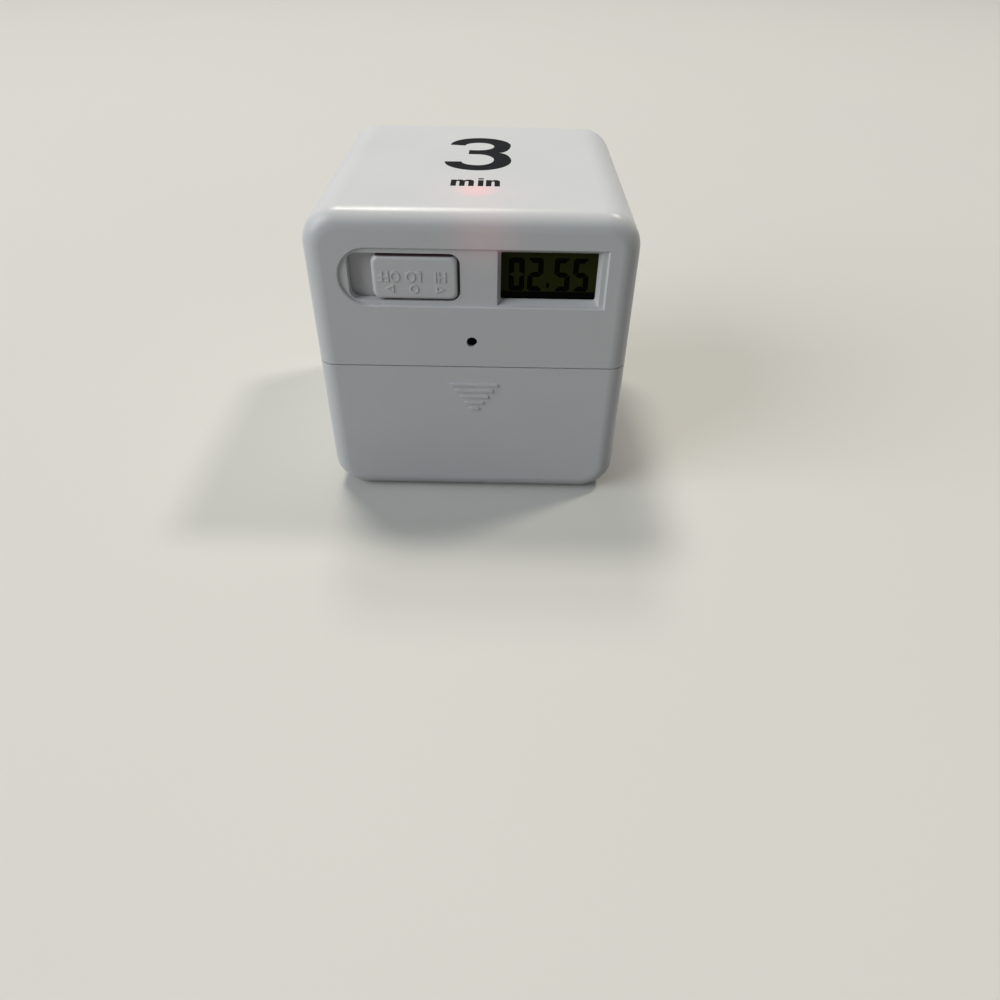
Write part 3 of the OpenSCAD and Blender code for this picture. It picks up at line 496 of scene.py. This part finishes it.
def segment(letter):
    """Corners of one of the seven segments, a at the top and g across the middle."""
    w, h, t, gap, cut = digit_w, digit_h, segment_t, segment_gap, segment_cut
    middle = h / 2
    top = [(cut, h), (w - cut, h), (w - cut / 2 - gap, h - cut / 2), (w - t - gap, h - t),
           (t + gap, h - t), (cut / 2 + gap, h - cut / 2)]
    upper = [(0, h - cut), (cut / 2, h - cut / 2 - gap), (t, h - t - gap),
             (t, middle + t / 2 + gap), (0, middle + gap)]
    bar = [(gap + t / 4, middle), (t, middle + t / 2), (w - t, middle + t / 2),
           (w - gap - t / 4, middle), (w - t, middle - t / 2), (t, middle - t / 2)]

    def mirrored(points, sideways, upside):
        return [(w - x if sideways else x, h - y if upside else y) for x, y in points]

    return {
        "a": top, "b": mirrored(upper, True, False), "c": mirrored(upper, True, True),
        "d": mirrored(top, False, True), "e": mirrored(upper, False, True), "f": upper, "g": bar,
    }[letter]


digit_signs = [
    [((left + x) * mm, (digit_base + y) * mm, "c") for x, y in segment(letter)]
    for left, letters in zip(digit_lefts, digit_shown)
    for letter in letters
]
point_left, point_low, point_right, point_high = (size * mm for size in point_box)
digit_signs.append([(point_left, point_low, "c"), (point_right, point_low, "c"),
                    (point_right, point_high, "c"), (point_left, point_high, "c")])
digit_t = 0.02 * mm
digit_mesh = sign_mesh(digit_signs, digit_t)
digit_mesh.transform(face_place(x_axis, z_axis, -y_axis, (0, film_low.y, 0)))
segment_black = Finish("lit segments", colours=((0.0012, 0.0014, 0.0009), (0.0018, 0.002, 0.0013)),
                       roughness=(0.45, 0.52), grain=0.05 * mm, depth=0.001 * mm,
                       sockets={"Specular IOR Level": 0.01})
digits = mesh_object("lcd_digits", digit_mesh, segment_black.material)
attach(digits, "case")


# Knob: white cap that slides in the strip, on a flange behind the wall. Its three settings stand on it
# as low raised words and marks, which read from the other side. Painted shade, tinted red, darkens the
# three sides of the cap that lie in a narrow gap, and painted shade makes the flange greyer than the cap.
knob_plastic = moulded_white("knob plastic")
knob_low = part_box("switch_knob")[0]
cap_depth = 0.9 * mm
cap = [corner.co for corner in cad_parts["switch_knob"].data.vertices
       if corner.co.y < knob_low.y + cap_depth]
# Painted shade: the cap's right, top and bottom sides in the gap are painted dark, tinted red by the alarm
# lamp's light.
gap_shade_w, gap_shade_full_w = 0.36 * mm, 0.09 * mm
gap_shade_red = (0.07, 0.04, 0.042)
shaded_sides = (
    ("X", max(corner.x for corner in cap), -1),
    ("Z", max(corner.z for corner in cap), -1),
    ("Z", min(corner.z for corner in cap), 1),
)
for axis, edge, inward in shaded_sides:
    gap_shade = knob_plastic.ramp(knob_plastic.along(axis), edge + inward * gap_shade_w, edge + inward * gap_shade_full_w)
    knob_plastic.paint(gap_shade, gap_shade_red)
# Painted shade: the flange behind the wall is painted grey, more so the deeper it lies.
flange_shade_start, flange_shade_full = knob_low.y + 1.3 * mm, knob_low.y + 2.2 * mm
flange_shade_grey = (0.56, 0.55, 0.56)
knob_plastic.paint(knob_plastic.ramp(knob_plastic.along("Y"), flange_shade_start, flange_shade_full), flange_shade_grey)
dress(knob_plastic, "switch_knob")


def word_mesh(word, height, thickness):
    capital_share = 0.7
    stroke_swell = 0.05 * mm
    text = bpy.data.curves.new("word", "FONT")
    text.body = word
    text.size = height / capital_share
    text.extrude = thickness / 2
    text.offset = stroke_swell
    text.align_x = "CENTER"
    return curve_to_mesh(text)


mark_rise = 0.16 * mm
mark_root = 0.05 * mm
letter_h = 1.9 * mm
word_narrow = 0.85
word_foot = 49.4 * mm
mark_centre = 46.2 * mm
knob_settings = {"OFF": -14.75 * mm, "LO": -10.3 * mm, "HI": -5.5 * mm}
mark_size = 0.8
mark_line = 0.25
tip_line, foot_line = 2.2 * mark_line, 1.6 * mark_line
arrow_left = [
    [(-mark_size, 0, "c"), (mark_size, mark_size, "c"), (mark_size, -mark_size, "c")],
    [(-mark_size + tip_line, 0, "c"), (mark_size - mark_line, -mark_size + foot_line, "c"),
     (mark_size - mark_line, mark_size - foot_line, "c")],
]
inner_mark = mark_size - mark_line
ring = [
    [(-mark_size, 0, "v"), (0, mark_size, "h"), (mark_size, 0, "v"), (0, -mark_size, "h")],
    [(-inner_mark, 0, "v"), (0, -inner_mark, "h"), (inner_mark, 0, "v"), (0, inner_mark, "h")],
]
arrow_right = [[(-x, y, way) for x, y, way in contour] for contour in arrow_left]
setting_marks = {"OFF": arrow_right, "LO": ring, "HI": arrow_left}
mark_plane = knob_low.y - mark_rise / 2 + mark_root
for setting, across in knob_settings.items():
    word = word_mesh(setting, letter_h, mark_rise)
    word.transform(face_place(-word_narrow * x_axis, -z_axis, -y_axis, (across, mark_plane, word_foot)))
    mark = sign_mesh(shifted(setting_marks[setting], size=mm), mark_rise)
    mark.transform(face_place(-x_axis, -z_axis, -y_axis, (across, mark_plane, mark_centre)))
    for name, mesh in (("knob_word_", word), ("knob_mark_", mark)):
        raised = mesh_object(name + setting.lower(), mesh, knob_plastic.material)
        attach(raised, "switch")


# Slide switch: steel can over a phenolic base, soldered to the board by its pins. A black slider with
# a bronze wiper runs inside and its lever sits in the knob.
steel = Finish("plated steel", colours=((0.50, 0.50, 0.49), (0.62, 0.62, 0.60)), roughness=(0.22, 0.38),
               grain=0.1 * mm, metallic=1.0)
bronze = Finish("spring bronze", colours=((0.55, 0.36, 0.17), (0.66, 0.46, 0.24)), roughness=(0.25, 0.4),
                grain=0.08 * mm, metallic=1.0)
black_moulding = Finish("black moulding", colours=((0.012, 0.012, 0.013), (0.024, 0.024, 0.025)),
                        roughness=(0.4, 0.6), grain=0.14 * mm)
phenolic = Finish("phenolic board", colours=((0.16, 0.070, 0.028), (0.22, 0.10, 0.045)),
                  roughness=(0.5, 0.65), grain=0.15 * mm, patch=1.5 * mm)
dress(steel, "switch_can")
dress(phenolic, "switch_base")
dress(bronze, "switch_pins", "switch_wiper")
dress(black_moulding, "switch_slider")


# Main board: green glass-fibre board with copper tracks under the mask, screwed to two bosses. It
# carries the controller under a drop of resin, a crystal and a row of small resistors.
board = Finish("board mask", colours=((0.010, 0.090, 0.030), (0.016, 0.120, 0.042)),
               roughness=(0.25, 0.4), grain=0.2 * mm)
track_scale, track_pitch, track_start, track_full = 330, 0.09, 0.035, 0.055
track_green = (0.045, 0.20, 0.075)
tracks = add_node(board.tree, "ShaderNodeTexVoronoi", distance="MANHATTAN", feature="F1")
tracks.inputs["Scale"].default_value = track_scale
join_nodes(board.tree, board.place, tracks.inputs["Vector"])
track_lines = add_node(board.tree, "ShaderNodeMath", operation="PINGPONG", in_1=track_pitch)
join_nodes(board.tree, tracks.outputs["Distance"], track_lines.inputs[0])
board.paint(board.ramp(track_lines.outputs[0], track_start, track_full), track_green)
dress(board, "main_board")
resin = Finish("black resin", colours=((0.006, 0.006, 0.007), (0.012, 0.012, 0.013)),
               roughness=(0.12, 0.3), grain=0.3 * mm, patch=2 * mm)
dress(resin, "chip_blob")
dress(black_moulding, "chip_resistors")
dress(steel, "crystal", "board_screws")


# Alarm lamp: red cast lamp under the front upper corner, on two bent leads from the board. It is lit,
# and brighter towards its tip.
lamp_red = Finish("lamp red", colours=((0.60, 0.012, 0.018), (0.70, 0.020, 0.025)),
                  roughness=(0.08, 0.14), grain=0.2 * mm, patch=2 * mm, sockets={"Emission Strength": 0.6})
lamp_foot_glow, lamp_tip_glow = (0.25, 0.0, 0.0), (0.9, 0.08, 0.08)
lamp_share = lamp_red.ramp(lamp_red.along("Z"), lamp_low.z, lamp_high.z)
lamp_glow = lamp_red.mix(lamp_share, lamp_foot_glow, lamp_tip_glow)
join_nodes(lamp_red.tree, lamp_glow, lamp_red.shader.inputs["Emission Color"])
dress(lamp_red, "alarm_led")
dress(steel, "led_leads")


# Buzzer: black cup behind the sound hole, with a thin steel diaphragm over a ring magnet and a coil
# of enamelled copper wire.
ferrite = Finish("ferrite", colours=((0.045, 0.045, 0.048), (0.070, 0.070, 0.074)), roughness=(0.6, 0.75),
                 grain=0.12 * mm)
winding = Finish("copper winding", colours=((0.42, 0.13, 0.045), (0.55, 0.20, 0.07)),
                 roughness=(0.25, 0.4), grain=0.1 * mm, metallic=0.8)
turn_scale = 1600
join_nodes(winding.tree, winding.bands("Y", turn_scale), winding.bump.inputs["Height"])
dress(black_moulding, "buzzer_case")
dress(steel, "buzzer_diaphragm")
dress(ferrite, "buzzer_magnet")
dress(winding, "buzzer_coil")


# Tilt switches: two small steel cans that lean to either side on the board, each with a plug, two
# gilt pins and a loose ball that closes them when the cube is turned.
gilt = Finish("gilt pins", colours=((0.62, 0.46, 0.16), (0.75, 0.58, 0.24)), roughness=(0.2, 0.35),
              grain=0.06 * mm, metallic=1.0)
dress(steel, "tilt_cans", "tilt_ball_left", "tilt_ball_right")
dress(black_moulding, "tilt_plugs")
dress(gilt, "tilt_pins")


# Battery contacts: nickel-plated strip pressed on the bay's end walls, with a cone spring of round
# wire soldered on at each negative end.
nickel = Finish("nickel plate", colours=((0.58, 0.55, 0.49), (0.70, 0.67, 0.60)), roughness=(0.16, 0.3),
                grain=0.12 * mm, patch=4 * mm, metallic=1.0)
dress(nickel, "contact_plus", "contact_minus", "contact_bridge")
spring_wire_r = 0.3 * mm
spring_base_r, spring_tip_r = 3.6 * mm, 2.4 * mm
spring_turns = 3.2
points_per_turn = 32


def tube_mesh(points, radius, smooth):
    """Round wire along points, as a smooth run that stays inside their corners where smooth is set."""
    sides, steps_between = 12, 8
    curve = bpy.data.curves.new("wire", "CURVE")
    curve.dimensions = "3D"
    curve.bevel_depth = radius
    curve.bevel_resolution = sides // 2 - 2
    curve.use_fill_caps = True
    run = curve.splines.new("NURBS" if smooth else "POLY")
    run.points.add(len(points) - 1)
    for knot, point in zip(run.points, points):
        knot.co = (*point, 1.0)
    if smooth:
        run.order_u = 3
        run.use_endpoint_u = True
        run.resolution_u = steps_between
    mesh = curve_to_mesh(curve)
    mesh.shade_smooth()
    return mesh


for name, cell, out in (("spring_minus", "cell_upper", -1), ("spring_bridge", "cell_lower", 1)):
    low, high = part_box(name)
    cell_low, cell_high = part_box(cell)
    axis_y, axis_z = (cell_low.y + cell_high.y) / 2, (cell_low.z + cell_high.z) / 2
    foot, tip = (low.x, high.x) if out < 0 else (high.x, low.x)
    foot, tip = foot - out * spring_wire_r, tip + out * spring_wire_r
    steps = round(spring_turns * points_per_turn)
    coil = []
    for step in range(steps + 1):
        share = step / steps
        r = spring_base_r + share * (spring_tip_r - spring_base_r)
        turn = 2 * pi * step / points_per_turn
        coil.append((foot + share * (tip - foot), axis_y + r * cos(turn), axis_z + r * sin(turn)))
    spring_mesh = tube_mesh(coil, spring_wire_r, smooth=False)
    spring = mesh_object("coil_" + name, spring_mesh, nickel.material)
    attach(spring, "case")
    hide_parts(name)


# Leads: two short stranded wires in coloured insulation, from the lugs of the contacts up to the board.
# Their routes, in millimetres, repeat those that the solids follow.
lead_r = 0.6 * mm
paler = 1.4
lead_routes = {
    "lead_red": (
        (0.42, 0.012, 0.010),
        [(-23.975, -13, 9.2), (-23.975, -10.6, 9.4), (-23.975, -8, 10.8), (-23.975, -6.6, 14.4),
         (-23.975, -6.2, 20), (-23.775, -6.6, 26), (-23.2, -8.6, 29.25), (-22.4, -12.4, 33.45),
         (-21.8, -16.6, 36.05), (-21.6, -20.3, 36.85)],
    ),
    "lead_black": (
        (0.012, 0.012, 0.013),
        [(-23.975, -13, 21.2), (-23.975, -11, 21.6), (-23.375, -9.8, 23.6), (-21.575, -9.6, 27.4),
         (-19.6, -11, 29.45), (-18.2, -14, 33.25), (-17.6, -17.4, 35.85), (-17.4, -20.3, 36.85)],
    ),
}
for name, (colour, route) in lead_routes.items():
    insulation = Finish(name + " insulation", colours=(colour, [paler * part for part in colour]),
                        roughness=(0.35, 0.5), grain=0.2 * mm, patch=3 * mm)
    wire = tube_mesh([Vector(point) * mm for point in route], lead_r, smooth=True)
    lead = mesh_object("wire_" + name, wire, insulation.material)
    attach(lead, "case")
    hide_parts(name)


# Cells: two AAA cells in plain printed sleeves, with bare nickel ends. A dark band marks the positive
# end, and they lie head to tail in the bay.
band_l = 12 * mm
nub_l = 1.8 * mm
rim_l = 0.6 * mm
print_blur = 0.1 * mm
band_dark = (0.03, 0.035, 0.04)
nickel_end = (0.6, 0.58, 0.53)
for name, plus in (("cell_upper", 1), ("cell_lower", -1)):
    low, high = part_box(name)
    plus_end, minus_end = (high.x, low.x) if plus > 0 else (low.x, high.x)
    sleeve = Finish(name + " sleeve", colours=((0.10, 0.22, 0.34), (0.12, 0.25, 0.38)),
                    roughness=(0.25, 0.35), grain=0.3 * mm, patch=10 * mm)
    lengthwise = sleeve.along("X")
    band_edge = plus_end - plus * band_l
    sleeve.paint(sleeve.ramp(lengthwise, band_edge - plus * 2 * print_blur, band_edge), band_dark)
    nub_edge, rim_edge = plus_end - plus * nub_l, minus_end + plus * rim_l
    plus_metal = sleeve.ramp(lengthwise, nub_edge - plus * print_blur, nub_edge)
    minus_metal = sleeve.ramp(lengthwise, rim_edge + plus * print_blur, rim_edge)
    bare = add_node(sleeve.tree, "ShaderNodeMath", operation="MAXIMUM")
    join_nodes(sleeve.tree, plus_metal, bare.inputs[0])
    join_nodes(sleeve.tree, minus_metal, bare.inputs[1])
    sleeve.paint(bare.outputs[0], nickel_end)
    join_nodes(sleeve.tree, bare.outputs[0], sleeve.shader.inputs["Metallic"])
    dress(sleeve, name)


# Rear cover and case screws: the plate that closes the open rear of the housing, with two posts. Two
# long screws reach it from the battery bay.
rear_plastic = moulded_white("rear cover plastic")
dress(rear_plastic, "rear_cover")
dress(steel, "case_screws")


# Battery cover: lower front corner of the cube, which slides down and off. Five raised bars on it make
# the arrow that says so.
cover_plastic = moulded_white("battery cover plastic")
dress(cover_plastic, "battery_cover")


# Size: the box of the finished model beside the box of the solids, so that the two can be compared.
# The ink on the printed faces is all that may stand past the solids.
low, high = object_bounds()
